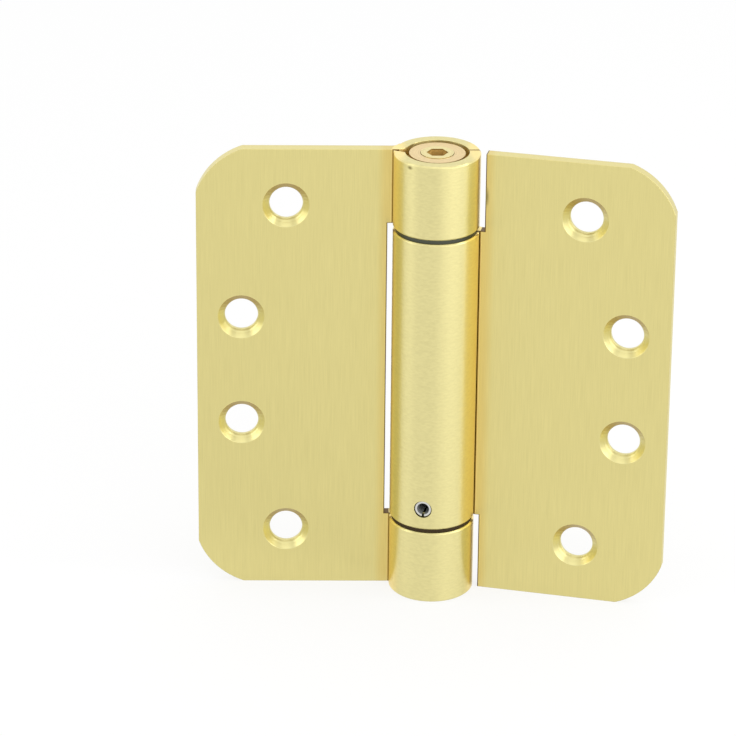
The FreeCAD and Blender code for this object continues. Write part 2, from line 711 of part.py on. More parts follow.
def make_anchor_pin():
    """The slotted spring pin, rolled from sheet, square to the door leaf and just below the skin."""
    body = new_body("anchor_pin")
    outer = size("anchor_pin_diameter") / 2
    inner = outer - size("anchor_pin_wall")
    half_slit = size("anchor_pin_slit") / 2
    down = -math.pi / 2
    level = size("knuckle_length") + size("knuckle_gap") + size("anchor_pin_height")
    centre = FreeCAD.Vector(0, level, 0)
    arcs = []
    for radius in (outer, inner):
        half_angle = math.asin(half_slit / radius)
        circle = Part.Circle(centre, FreeCAD.Vector(0, 0, 1), radius)
        arcs.append(Part.ArcOfCircle(circle, down + half_angle, down - half_angle + math.tau))
    sketch = new_sketch(body, "rolled_section", "XZ_Plane", "-Sizes.anchor_pin_reach")
    sketch.addGeometry(
        [
            arcs[0],
            arcs[1],
            Part.LineSegment(arcs[0].StartPoint, arcs[1].StartPoint),
            Part.LineSegment(arcs[0].EndPoint, arcs[1].EndPoint),
        ],
        False,
    )
    skin, hollow, first_lip, second_lip = range(4)
    for joint in (
        (skin, START, first_lip, START),
        (hollow, START, first_lip, END),
        (skin, END, second_lip, START),
        (hollow, END, second_lip, END),
    ):
        sketch.addConstraint(Sketcher.Constraint("Coincident", *joint))
    place(sketch, skin, CENTRE, None, ANCHOR_PIN_LEVEL)
    sketch.addConstraint(Sketcher.Constraint("Coincident", skin, CENTRE, hollow, CENTRE))
    dimension(sketch, "Radius", skin, to="Sizes.anchor_pin_diameter / 2")
    dimension(sketch, "Radius", hollow, to="Sizes.anchor_pin_diameter / 2 - Sizes.anchor_pin_wall")
    for lip in (first_lip, second_lip):
        sketch.addConstraint(Sketcher.Constraint("Vertical", lip))
    dimension(sketch, "DistanceX", *ORIGIN, first_lip, START, to="Sizes.anchor_pin_slit / 2")
    dimension(sketch, "DistanceX", second_lip, START, *ORIGIN, to="Sizes.anchor_pin_slit / 2")
    pin = body.newObject("PartDesign::Pad", "rolled_pin")
    pin.Profile = sketch
    pin.setExpression("Length", "Sizes.anchor_pin_reach + Sizes.barrel_radius - Sizes.anchor_pin_recess")
    document.recompute()
    turn_with_door_leaf(body)


def square_wire_coil(mean_radius, wire, foot, height, turns):
    """A helix of square wire in flat facets. Its lowest and highest faces lie at foot and foot + height."""
    half = wire / 2
    steps = math.ceil(turns * FACETS_PER_TURN)
    square = [(across * half, up * half) for across, up in ((-1, -1), (1, -1), (1, 1), (-1, 1))]
    sections = []
    for step in range(steps + 1):
        turn = FreeCAD.Rotation(FreeCAD.Vector(0, 0, 1), 360 * turns * step / steps)
        level = foot + half + (height - wire) * step / steps
        corners = [FreeCAD.Vector(mean_radius + out, 0, level + up) for out, up in square]
        sections.append([turn.multVec(corner) for corner in corners])

    def facet(*corners):
        return Part.Face(Part.makePolygon([*corners, corners[0]]))

    facets = [facet(*sections[0]), facet(*sections[-1])]
    for near, far in zip(sections, sections[1:]):
        inner_low, outer_low, outer_high, inner_high = range(4)
        facets.append(facet(near[outer_low], near[outer_high], far[outer_high], far[outer_low]))
        facets.append(facet(near[inner_low], near[inner_high], far[inner_high], far[inner_low]))
        for inner, outer in ((inner_low, outer_low), (inner_high, outer_high)):
            facets.append(facet(near[inner], near[outer], far[outer]))
            facets.append(facet(near[inner], far[outer], far[inner]))
    shell = Part.makeShell(facets)
    shell.sewShape()
    coil = Part.makeSolid(shell)
    if coil.Volume < 0:
        coil.reverse()
    return coil


def make_torsion_spring():
    """The main spring, with a straight tang across each end, as far apart as the leaves' directions."""
    wire, overhang = size("spring_wire"), size("spring_tang_overhang")
    bore = size("barrel_radius") - size("leaf_thickness")
    mean_radius = bore - size("spring_bore_clearance") - wire / 2
    door_foot = size("knuckle_length") + size("knuckle_gap")
    foot = door_foot + size("anchor_length") + size("spring_end_clearance")
    door_head = size("hinge_height") - size("knuckle_length") - size("knuckle_gap")
    top = door_head - size("bush_length") - size("spring_end_clearance")
    turns = round(size("spring_turns")) - size("rest_angle") / 360
    coil = square_wire_coil(mean_radius, wire, foot, top - foot, turns)
    coil.rotate(FreeCAD.Vector(), FreeCAD.Vector(0, 0, 1), size("rest_angle"))

    def tang(level, angle):
        reach = mean_radius + overhang
        bar = Part.makeBox(reach, wire, wire, FreeCAD.Vector(-overhang, -wire / 2, level))
        bar.rotate(FreeCAD.Vector(), FreeCAD.Vector(0, 0, 1), angle)
        return bar

    ends = [tang(foot, size("rest_angle")), tang(top - wire, 0)]
    spring = document.addObject("Part::Feature", "torsion_spring")
    spring.Label = "torsion_spring"
    spring.Shape = coil.fuse(ends).removeSplitter()


def make_lock_spring():
    """The small spring that lifts the plug back into the sleeve's teeth."""
    wire = size("lock_wire")
    mean_radius = size("tooth_bore_radius") - size("lock_spring_clearance") - wire / 2
    teeth_top = size("hinge_height") - size("sleeve_recess") - size("sleeve_lip_thickness")
    teeth_foot = teeth_top - size("tooth_length")
    floor = teeth_foot - size("tooth_clearance") - size("socket_depth")
    plug_foot = teeth_foot - size("plug_skirt")
    foot = floor + size("axial_clearance")
    height = plug_foot - size("axial_clearance") - foot
    spring = document.addObject("Part::Feature", "lock_spring")
    spring.Label = "lock_spring"
    spring.Shape = square_wire_coil(mean_radius, wire, foot, height, round(size("lock_turns")))


def check_and_export():
    """Stops on any failed object or bad shape, then writes one STEP file for each piece."""
    document.recompute()
    for item in document.Objects:
        if "Invalid" in item.State or "Error" in item.State:
            raise RuntimeError(f"{item.Name} failed: {item.State}")
    pieces = [o for o in document.Objects if o.TypeId in ("PartDesign::Body", "Part::Feature")]
    for piece in pieces:
        if piece.Shape.isNull() or not piece.Shape.isValid() or not piece.Shape.Solids:
            raise RuntimeError(f"{piece.Label} has no valid solid")
    os.makedirs("parts", exist_ok=True)
    for piece in pieces:
        piece.Shape.exportStep(f"parts/{piece.Label}.step")
        box = piece.Shape.BoundBox
        print(
            f"{piece.Label}: {len(piece.Shape.Solids)} solid, {piece.Shape.Volume:.1f} mm3, "
            f"x {box.XMin:.2f}..{box.XMax:.2f}, y {box.YMin:.2f}..{box.YMax:.2f}, "
            f"z {box.ZMin:.2f}..{box.ZMax:.2f}"
        )


make_frame_leaf()
make_door_leaf()
make_bearings()
make_lock_sleeve()
make_lock_plug()
make_tension_spindle()
make_spring_anchor()
make_anchor_pin()
make_torsion_spring()
make_lock_spring()
check_and_export()
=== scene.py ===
"""Finishes a 4 x 4 inch spring door hinge in satin brass and stands it on a pale floor in soft light.

Everything is in metres, in the hinge's own frame: the origin is on the barrel's axis at its lower end, +Z
runs up the barrel, and the countersunk faces look towards -Y.
"""

import json
import math

import bmesh
import bpy
from mathutils import Matrix, Vector


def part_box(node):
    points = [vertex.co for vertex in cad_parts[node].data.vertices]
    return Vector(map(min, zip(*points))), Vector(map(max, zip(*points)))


bl_info = {
    "name": "Spring Door Hinge Finishes",
    "version": (1, 0, 0),
    "blender": (4, 5, 0),
    "location": "View3D > Sidebar > Hinge",
    "description": "Finishes, floor, light and camera for a spring door hinge",
    "category": "Material",
}

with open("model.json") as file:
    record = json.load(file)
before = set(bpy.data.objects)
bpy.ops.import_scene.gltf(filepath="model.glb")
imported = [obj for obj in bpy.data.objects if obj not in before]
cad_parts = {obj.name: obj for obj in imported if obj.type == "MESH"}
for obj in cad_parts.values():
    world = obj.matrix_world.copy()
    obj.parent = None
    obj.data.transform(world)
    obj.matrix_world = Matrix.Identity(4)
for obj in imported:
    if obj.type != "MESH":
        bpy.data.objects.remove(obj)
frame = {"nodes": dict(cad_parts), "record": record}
bpy.context.view_layer.update()

MM = 0.001


def linear(hex_colour):
    """An sRGB hex value, such as 0xDED28C, as linear red, green and blue."""
    channels = [(hex_colour >> shift & 255) / 255 for shift in (16, 8, 0)]
    return tuple(c / 12.92 if c <= 0.04045 else ((c + 0.055) / 1.055) ** 2.4 for c in channels)


def rgba(colour):
    """A linear colour with an alpha of 1."""
    return (*colour, 1.0)


def mount(name):
    """One of the record's mounts."""
    return next(m for m in frame["record"]["mounts"] if m["name"] == name)


def hole_axis(name):
    """A pair of screw holes, as their distance from the barrel's axis and half their spacing."""
    holes = mount(name)
    return (-holes["pos_m"][0], holes["dims"]["pcd_mm"] * MM / 2, 0.0)


# Places read from the frame
BARREL_RADIUS = -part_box("frame_leaf")[0].y
LEAF_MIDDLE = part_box("frame_leaf")[1].z / 2
LEAF_BACK = mount("frame_leaf_back")["pos_m"][1]
DOOR_BACK_AXIS = mount("door_leaf_back")["axis"]
DOOR_LEAF_TURN = math.atan2(DOOR_BACK_AXIS[0], DOOR_BACK_AXIS[1])
HOLE_AXES = (hole_axis("frame_screws_near_barrel"), hole_axis("frame_screws_near_edge"))
FRAME_SLOT_HALF_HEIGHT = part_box("upper_bush")[1].z - LEAF_MIDDLE
DOOR_SLOTS_HALF_DISTANCE = LEAF_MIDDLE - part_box("lower_bush")[1].z

# The solids' own sizes that the frame doesn't state
LEAF_FACE = LEAF_BACK - 2.4 * MM
COUNTERSINK_RADIUS = 5.0 * MM
SLOT_REACH = BARREL_RADIUS + 1.1 * MM

# Radii a little outside the barrel's skin, the hex socket's corners and the inside of the hollow pin
BARREL_SIDE = BARREL_RADIUS + 0.1 * MM
SOCKET_RADIUS = 2.35 * MM
PIN_HOLLOW_RADIUS = 1.36 * MM

# A radius or height in metres that takes in the whole hinge
EVERYWHERE = 1.0


class HingeFinish(bpy.types.PropertyGroup):
    """Colours and finishes of the hinge's metals and nylon."""

    brass: bpy.props.FloatVectorProperty(
        name="Satin brass",
        description="Brass plating on both leaves and the barrel",
        subtype="COLOR",
        default=linear(0xE3D792),
        min=0.0,
        max=1.0,
    )
    brass_roughness: bpy.props.FloatProperty(
        name="Satin brass roughness",
        description="How far the brushing blurs what the plating reflects",
        subtype="FACTOR",
        default=0.36,
        min=0.0,
        max=1.0,
    )
    brass_anisotropy: bpy.props.FloatProperty(
        name="Satin brass anisotropy",
        description="How much further brush lines spread a reflection across themselves than along",
        subtype="FACTOR",
        default=0.75,
        min=0.0,
        max=1.0,
    )
    grain_width: bpy.props.FloatProperty(
        name="Grain width",
        description="Distance between brush lines on the leaves",
        subtype="DISTANCE",
        default=0.2 * MM,
        min=0.05 * MM,
        max=2.0 * MM,
    )
    # Painted highlight: the leaves' plating painted paler on the rolled knuckles, for their paler highlights
    barrel_brass_painted_paler: bpy.props.FloatVectorProperty(
        name="Barrel brass",
        description="The plating on the rolled knuckles, paler where rolling has smoothed it",
        subtype="COLOR",
        default=linear(0xE3D99B),
        min=0.0,
        max=1.0,
    )
    # Painted highlight: a brighter colour painted on the barrel's flanks beside the leaves
    flank_painted_highlight: bpy.props.FloatVectorProperty(
        name="Barrel flank brass",
        description="Brighter plating on the barrel's flanks, where the leaves keep the brushing belt away",
        subtype="COLOR",
        default=linear(0xFFEAA0),
        min=0.0,
        max=1.0,
    )
    # Painted reflection: a yellower colour painted on the strip of each leaf beside the barrel, for the
    # barrel's reflection in it
    corner_painted_reflection: bpy.props.FloatVectorProperty(
        name="Corner brass",
        description="Yellower plating on the strip of each leaf that lies against the barrel",
        subtype="COLOR",
        default=linear(0xE2CE82),
        min=0.0,
        max=1.0,
    )
    # Dark brown on the sheared faces of the narrow slots beside the barrel: partly unplated cut metal, partly
    # painted shade that falls in the slots
    sheared_edge_and_shade: bpy.props.FloatVectorProperty(
        name="Sheared edge",
        description="Dark, thinly plated faces where the slots beside the barrel were sheared out",
        subtype="COLOR",
        default=linear(0x62481A),
        min=0.0,
        max=1.0,
    )
    # Painted shade: brown painted in the crease where each knuckle's lip meets its leaf
    lip_crease_shade: bpy.props.FloatVectorProperty(
        name="Dust under the lips",
        description="Brown oil and dust in the gap where each knuckle's lip meets its leaf",
        subtype="COLOR",
        default=linear(0x9A7C3A),
        min=0.0,
        max=1.0,
    )
    worn_spot: bpy.props.FloatVectorProperty(
        name="Worn spot",
        description="Olive grey of the nick and the stain, where the plating is worn or dulled",
        subtype="COLOR",
        default=linear(0x8E8454),
        min=0.0,
        max=1.0,
    )
    countersink_brass: bpy.props.FloatVectorProperty(
        name="Countersink brass",
        description="Brass on the smooth cones of the countersinks",
        subtype="COLOR",
        default=linear(0xDED596),
        min=0.0,
        max=1.0,
    )
    countersink_roughness: bpy.props.FloatProperty(
        name="Countersink roughness",
        description="How far the cutter's rings blur what the cones reflect",
        subtype="FACTOR",
        default=0.3,
        min=0.0,
        max=1.0,
    )
    # Painted shade: a darker olive painted on the upper side of each countersink, which faces down
    countersink_painted_shade: bpy.props.FloatVectorProperty(
        name="Oil in the countersinks",
        description="Olive film of oil that ran down the leaf and stayed under each countersink's upper rim",
        subtype="COLOR",
        default=linear(0xA88E34),
        min=0.0,
        max=1.0,
    )
    sleeve_brass: bpy.props.FloatVectorProperty(
        name="Lock sleeve brass",
        description="Pinkish turned brass of the sleeve in the barrel's upper end",
        subtype="COLOR",
        default=linear(0xEBD3A0),
        min=0.0,
        max=1.0,
    )
    plug_brass: bpy.props.FloatVectorProperty(
        name="Lock plug brass",
        description="Yellow turned brass of the plug with the hex socket",
        subtype="COLOR",
        default=linear(0xECDE9E),
        min=0.0,
        max=1.0,
    )
    # Matt brown in the hex socket and on the lock sleeve below its top, in the trench round the plug
    socket_and_trench_brown: bpy.props.FloatVectorProperty(
        name="Socket grime",
        description="Brown oil and dust in the hex socket and in the trench round the plug",
        subtype="COLOR",
        default=linear(0xC4A055),
        min=0.0,
        max=1.0,
    )
    # Matt grey on the inside of the hollow spring pin
    pin_hollow_grey: bpy.props.FloatVectorProperty(
        name="Grease in the pin",
        description="Dark grey grease on the inside of the hollow spring pin",
        subtype="COLOR",
        default=linear(0x8A8D8B),
        min=0.0,
        max=1.0,
    )
    bright_steel: bpy.props.FloatVectorProperty(
        name="Bright steel",
        description="Turned and rolled steel of the pins and shafts",
        subtype="COLOR",
        default=linear(0xD8D8D4),
        min=0.0,
        max=1.0,
    )
    dark_steel: bpy.props.FloatVectorProperty(
        name="Dark sintered steel",
        description="Oiled sintered steel of the upper bush",
        subtype="COLOR",
        default=linear(0x55584C),
        min=0.0,
        max=1.0,
    )
    spring_steel: bpy.props.FloatVectorProperty(
        name="Spring steel",
        description="Oil-tempered wire of both springs",
        subtype="COLOR",
        default=linear(0x6A6B70),
        min=0.0,
        max=1.0,
    )
    nylon: bpy.props.FloatVectorProperty(
        name="Black nylon",
        description="Moulded nylon of the lower bush",
        subtype="COLOR",
        default=linear(0x34260C),
        min=0.0,
        max=1.0,
    )


class HingeStage(bpy.types.PropertyGroup):
    """The floor, the surroundings and the camera."""

    floor_colour: bpy.props.FloatVectorProperty(
        name="Floor",
        description="Pale floor that the hinge stands on",
        subtype="COLOR",
        default=linear(0xE8E8E8),
        min=0.0,
        max=1.0,
    )
    floor_glow: bpy.props.FloatProperty(
        name="Floor glow",
        description="Share of the floor that is plain white where the camera or a reflection sees it",
        subtype="FACTOR",
        default=0.8,
        min=0.0,
        max=1.0,
    )
    sky_strength: bpy.props.FloatProperty(
        name="Sky strength",
        description="Brightness of the white surroundings",
        default=1.06,
        min=0.0,
        max=2.0,
    )
    camera_azimuth: bpy.props.FloatProperty(
        name="Camera azimuth",
        description="Turn of the camera about the barrel, 0 looking along +Y",
        subtype="ANGLE",
        default=math.radians(-1.86),
    )
    camera_elevation: bpy.props.FloatProperty(
        name="Camera elevation",
        description="Height of the camera above the horizon",
        subtype="ANGLE",
        default=math.radians(24.32),
    )
    camera_roll: bpy.props.FloatProperty(
        name="Camera roll",
        description="Lean of the camera, which leans the barrel's top to the right",
        subtype="ANGLE",
        default=math.radians(0.95),
    )
    camera_distance: bpy.props.FloatProperty(
        name="Camera distance",
        description="Distance from the camera to the middle of the barrel",
        subtype="DISTANCE",
        default=0.8827,
    )
    focal_length: bpy.props.FloatProperty(
        name="Focal length",
        description="Lens for a sensor 36 mm wide",
        subtype="DISTANCE_CAMERA",
        default=201.0,
    )


def add_node(tree, kind, inputs=None, **settings):
    """Adds a node. Its inputs are given by name or number, as values or as the sockets that feed them.

    A Mix node's inputs go by number: 0 is the factor, 2 and 3 are numbers, 4 and 5 vectors, 6 and 7 colours.
    """
    node = tree.nodes.new(kind)
    for setting, value in settings.items():
        setattr(node, setting, value)
    for socket, value in (inputs or {}).items():
        if isinstance(value, bpy.types.NodeSocket):
            tree.links.new(value, node.inputs[socket])
        else:
            node.inputs[socket].default_value = value
    return node


def new_material(name):
    """An empty node material with its output, as (material, tree, output)."""
    material = bpy.data.materials.new(name)
    material.use_nodes = True
    tree = material.node_tree
    tree.nodes.clear()
    output = add_node(tree, "ShaderNodeOutputMaterial")
    return material, tree, output


def finish_node(name, material):
    """Gives a CAD node its material."""
    for slot in frame["nodes"][name].material_slots:
        slot.material = material


def axes_and_radius(tree, place):
    """A place's X, Y and Z, and its distance from the Z axis."""
    axes = add_node(tree, "ShaderNodeSeparateXYZ", {0: place}).outputs
    plan = add_node(tree, "ShaderNodeVectorMath", {0: place, 1: (1, 1, 0)}, operation="MULTIPLY").outputs[0]
    radius = add_node(tree, "ShaderNodeVectorMath", {0: plan}, operation="LENGTH").outputs["Value"]
    return axes["X"], axes["Y"], axes["Z"], radius


def streaks(tree, place, lengths, detail, roughness):
    """Noise whose streaks have the given lengths along X, Y and Z."""
    scales = tuple(1 / length for length in lengths)
    scaled = add_node(tree, "ShaderNodeVectorMath", {0: place, 1: scales}, operation="MULTIPLY").outputs[0]
    noise = {"Vector": scaled, "Scale": 1.0, "Detail": detail, "Roughness": roughness}
    return add_node(tree, "ShaderNodeTexNoise", noise).outputs[0]


def tool_marks(tree, distance, spacing, detail):
    """Rings left by a turning tool, as noise along the distance from where it starts.

    Real ones lie under 0.1 mm apart, and the spacings are drawn coarser so that they show.
    """
    turns = add_node(tree, "ShaderNodeMath", {0: distance, 1: 1 / spacing}, operation="MULTIPLY").outputs[0]
    noise = {"W": turns, "Scale": 1.0, "Detail": detail}
    return add_node(tree, "ShaderNodeTexNoise", noise, noise_dimensions="1D").outputs[0]


def uneven(tree, texture, colour, shades, roughnesses):
    """A colour and a roughness that vary with a noise, whose values lie mostly from 0.3 to 0.7."""
    varied = []
    for low, high in (shades, roughnesses):
        spread = {"Value": texture, "From Min": 0.3, "From Max": 0.7, "To Min": low, "To Max": high}
        varied.append(add_node(tree, "ShaderNodeMapRange", spread).outputs[0])
    shade, roughness = varied
    tone = add_node(tree, "ShaderNodeVectorMath", {0: colour, "Scale": shade}, operation="SCALE").outputs[0]
    return tone, roughness


def where_all(tree, *tests):
    """A mask of where every test holds. A test is a value, its limit and the comparison."""
    first, *others = (
        add_node(tree, "ShaderNodeMath", {0: value, 1: limit}, operation=comparison).outputs[0]
        for value, limit, comparison in tests
    )
    mask = first
    for other in others:
        mask = add_node(tree, "ShaderNodeMath", {0: mask, 1: other}, operation="MULTIPLY").outputs[0]
    return mask


def spot(tree, place, centre, reach, rim, core):
    """A mask that fades in round a centre from the rim to the core, both as shares of its half lengths."""
    offset = add_node(tree, "ShaderNodeVectorMath", {0: place, 1: centre}, operation="SUBTRACT").outputs[0]
    scales = tuple(1 / half_length for half_length in reach)
    scaled = add_node(tree, "ShaderNodeVectorMath", {0: offset, 1: scales}, operation="MULTIPLY").outputs[0]
    distance = add_node(tree, "ShaderNodeVectorMath", {0: scaled}, operation="LENGTH").outputs["Value"]
    fade = {"Value": distance, "From Min": rim, "From Max": core}
    return add_node(tree, "ShaderNodeMapRange", fade, interpolation_type="SMOOTHSTEP").outputs[0]


def brush_lines(tree, place, finish):
    """Fine upright lines from the brushing belt, with a little of broader ones between them."""
    # Real brush lines lie 0.05 to 0.1 mm apart, and are drawn coarser so that they show
    fine_lengths = (finish.grain_width, finish.grain_width, 9 * MM)
    broad_lengths = (1.3 * MM, 1.3 * MM, 25 * MM)
    fine = streaks(tree, place, fine_lengths, detail=3.0, roughness=0.6)
    broad = streaks(tree, place, broad_lengths, detail=2.0, roughness=0.5)
    broad_share = 0.12
    mixed = {0: broad_share, 2: fine, 3: broad}
    return add_node(tree, "ShaderNodeMix", mixed, data_type="FLOAT").outputs[0]


def countersink_masks(tree, across, depth, off_middle):
    """The countersunk cones, the painted shade on their upper sides and the distance to the nearest screw
    hole's axis.
    """
    # The holes mirror each other about the leaf's middle height, so two of them stand for all four
    folded = add_node(tree, "ShaderNodeCombineXYZ", {0: across, 1: off_middle}).outputs[0]
    near, far = (
        add_node(tree, "ShaderNodeVectorMath", {0: folded, 1: axis}, operation="DISTANCE").outputs["Value"]
        for axis in HOLE_AXES
    )
    nearest = add_node(tree, "ShaderNodeMath", {0: near, 1: far}, operation="MINIMUM").outputs[0]
    rim_margin, back_margin = 0.02 * MM, 0.05 * MM
    cones = where_all(
        tree,
        (nearest, COUNTERSINK_RADIUS + rim_margin, "LESS_THAN"),
        (depth, LEAF_BACK - back_margin, "LESS_THAN"),
    )
    # Painted shade: each cone's upper side, which faces down, is painted a darker olive
    facing = add_node(tree, "ShaderNodeNewGeometry").outputs["True Normal"]
    facing_up = add_node(tree, "ShaderNodeSeparateXYZ", {0: facing}).outputs["Z"]
    downward = {"Value": facing_up, "From Min": 0.0, "From Max": -0.65}
    upper_side = add_node(tree, "ShaderNodeMapRange", downward, interpolation_type="SMOOTHSTEP").outputs[0]
    oil = add_node(tree, "ShaderNodeMath", {0: upper_side, 1: cones}, operation="MULTIPLY").outputs[0]
    return cones, oil, nearest


def lip_crease_shade_mask(tree, across, depth):
    """Painted shade on the leaf's face, in the crease under the rolled lip."""
    crease_shade_end = BARREL_RADIUS + 0.45 * MM
    gap = {"Value": across, "From Min": crease_shade_end, "From Max": BARREL_SIDE}
    by_lip = add_node(tree, "ShaderNodeMapRange", gap, interpolation_type="SMOOTHSTEP").outputs[0]
    face_margin = 0.3 * MM
    face = {0: depth, 1: LEAF_FACE, 2: face_margin}
    on_face = add_node(tree, "ShaderNodeMath", face, operation="COMPARE").outputs[0]
    return add_node(tree, "ShaderNodeMath", {0: by_lip, 1: on_face}, operation="MULTIPLY").outputs[0]


def square_to_brushing(tree, on_leaf, turn):
    """The way in which brush lines spread a reflection: sideways on the leaf, up and down on the barrel."""
    along_leaf = (math.cos(turn), -math.sin(turn), 0.0)
    directions = {0: on_leaf, 4: (0.0, 0.0, 1.0), 5: along_leaf}
    direction = add_node(tree, "ShaderNodeMix", directions, data_type="VECTOR").outputs[1]
    spaces = {"vector_type": "VECTOR", "convert_from": "OBJECT", "convert_to": "WORLD"}
    return add_node(tree, "ShaderNodeVectorTransform", {0: direction}, **spaces).outputs[0]


def satin_brass(name, finish, turn, mark, slots):
    """Brass plating on pressed steel, brushed up and down on the flats and round the rolled barrel.

    It reads as soft, slightly green gold: fine upright lines on the leaves, a faint ripple round the
    barrel that breaks up its upright highlights, and smooth bright cones where the holes are countersunk.
    The turn is the leaf's own about the barrel. The mark is a worn or stained spot, given by its centre
    and half lengths. The slots beside the barrel are given by a distance from the leaf's middle height
    and by where they lie: LESS_THAN is nearer to the middle and GREATER_THAN is further from it.
    """
    material, tree, output = new_material(name)
    where = add_node(tree, "ShaderNodeTexCoord").outputs["Object"]
    turned = {"Vector": where, "Rotation": (0, 0, turn)}
    local = add_node(tree, "ShaderNodeMapping", turned, vector_type="POINT").outputs[0]
    aside, depth, level, radius = axes_and_radius(tree, local)
    across = add_node(tree, "ShaderNodeMath", {0: aside}, operation="ABSOLUTE").outputs[0]
    rise = add_node(tree, "ShaderNodeMath", {0: level, 1: LEAF_MIDDLE}, operation="SUBTRACT").outputs[0]
    off_middle = add_node(tree, "ShaderNodeMath", {0: rise}, operation="ABSOLUTE").outputs[0]
    leaf_start = BARREL_RADIUS + 0.7 * MM
    passage = {"Value": radius, "From Min": BARREL_SIDE, "From Max": leaf_start}
    on_leaf = add_node(tree, "ShaderNodeMapRange", passage, interpolation_type="SMOOTHSTEP").outputs[0]

    grain = brush_lines(tree, local, finish)
    ripple_lengths = (1.1 * MM, 1.1 * MM, 0.45 * MM)
    ripple = streaks(tree, local, ripple_lengths, detail=2.5, roughness=0.55)
    patterns = {0: on_leaf, 2: ripple, 3: grain}
    brushing = add_node(tree, "ShaderNodeMix", patterns, data_type="FLOAT").outputs[0]

    cones, cone_upper_shade, from_hole = countersink_masks(tree, across, depth, off_middle)
    rings = tool_marks(tree, from_hole, spacing=0.25 * MM, detail=1.0)
    lip_crease_shaded = lip_crease_shade_mask(tree, across, depth)
    slot_level, slot_test = slots
    rounded_edge = 0.2 * MM
    # The slots' sheared faces are painted dark brown: partly unplated cut metal, partly painted shade in the
    # narrow slots
    sheared = where_all(
        tree,
        (across, SLOT_REACH + rounded_edge, "LESS_THAN"),
        (across, BARREL_SIDE, "GREATER_THAN"),
        (off_middle, slot_level, slot_test),
    )
    # Painted reflection and highlight: the corner between leaf and barrel is painted brighter and yellower,
    # standing in for the barrel's golden reflection in the leaf and the bright reflections on the barrel's
    # flanks
    beside = add_node(tree, "ShaderNodeCombineXYZ", {0: across, 1: depth}).outputs[0]
    corner_light_reach = (2.8 * MM, 7.5 * MM, math.inf)
    corner_painted_light = spot(tree, beside, (BARREL_RADIUS, LEAF_FACE, 0.0), corner_light_reach, rim=1.3, core=0.5)
    mark_centre, mark_reach = mark
    worn = spot(tree, where, mark_centre, mark_reach, rim=1.0, core=0.1)

    # The barrel takes a paler painted copy of the leaves' brass, for its paler highlights
    brushed_colours = {0: on_leaf, 6: rgba(finish.barrel_brass_painted_paler), 7: rgba(finish.brass)}
    brushed = add_node(tree, "ShaderNodeMix", brushed_colours, data_type="RGBA").outputs[2]
    corner_light_colours = {0: on_leaf, 6: rgba(finish.flank_painted_highlight), 7: rgba(finish.corner_painted_reflection)}
    corner_light_colour = add_node(tree, "ShaderNodeMix", corner_light_colours, data_type="RGBA").outputs[2]
    colours = {0: corner_painted_light, 6: brushed, 7: corner_light_colour}
    brass = add_node(tree, "ShaderNodeMix", colours, data_type="RGBA").outputs[2]
    colour, brushed_roughness = uneven(
        tree,
        brushing,
        brass,
        shades=(0.955, 1.035),
        roughnesses=(finish.brass_roughness + 0.05, finish.brass_roughness - 0.05),
    )
    for mask, layer_colour in (
        (cones, finish.countersink_brass),
        # Painted shade on the upper side of each countersink
        (cone_upper_shade, finish.countersink_painted_shade),
        # Painted shade in the crease under each lip
        (lip_crease_shaded, finish.lip_crease_shade),
        # Dark slot faces: partly unplated cut metal, partly painted shade
        (sheared, finish.sheared_edge_and_shade),
        (worn, finish.worn_spot),
    ):
        layers = {0: mask, 6: colour, 7: rgba(layer_colour)}
        colour = add_node(tree, "ShaderNodeMix", layers, data_type="RGBA").outputs[2]
    blurs = {0: cones, 2: brushed_roughness, 3: finish.countersink_roughness}
    roughness = add_node(tree, "ShaderNodeMix", blurs, data_type="FLOAT").outputs[0]

    # How deep the belt's lines are beside the barrel's ripple
    line_depth = 0.35
    shallow = add_node(tree, "ShaderNodeMath", {0: grain, 1: line_depth}, operation="MULTIPLY").outputs[0]
    relief = add_node(
        tree, "ShaderNodeMix", {0: on_leaf, 2: ripple, 3: shallow}, data_type="FLOAT"
    ).outputs[0]
    height = add_node(tree, "ShaderNodeMix", {0: cones, 2: relief, 3: rings}, data_type="FLOAT").outputs[0]
    # The edges are slightly rounded, so that they catch the light
    edge = add_node(tree, "ShaderNodeBevel", {"Radius": 0.18 * MM}, samples=6).outputs[0]
    bump = add_node(
        tree, "ShaderNodeBump", {"Strength": 0.6, "Distance": 0.06 * MM, "Height": height, "Normal": edge}
    ).outputs[0]
    # The cutter's rings have no one direction, so the cones spread a reflection evenly
    spreads = {0: cones, 2: finish.brass_anisotropy, 3: 0.0}
    anisotropy = add_node(tree, "ShaderNodeMix", spreads, data_type="FLOAT").outputs[0]
    shader = add_node(
        tree,
        "ShaderNodeBsdfPrincipled",
        {
            "Base Color": colour,
            "Metallic": 1.0,
            "Roughness": roughness,
            "Anisotropic": anisotropy,
            "Tangent": square_to_brushing(tree, on_leaf, turn),
            "Normal": bump,
        },
    )
    tree.links.new(shader.outputs[0], output.inputs[0])
    return material


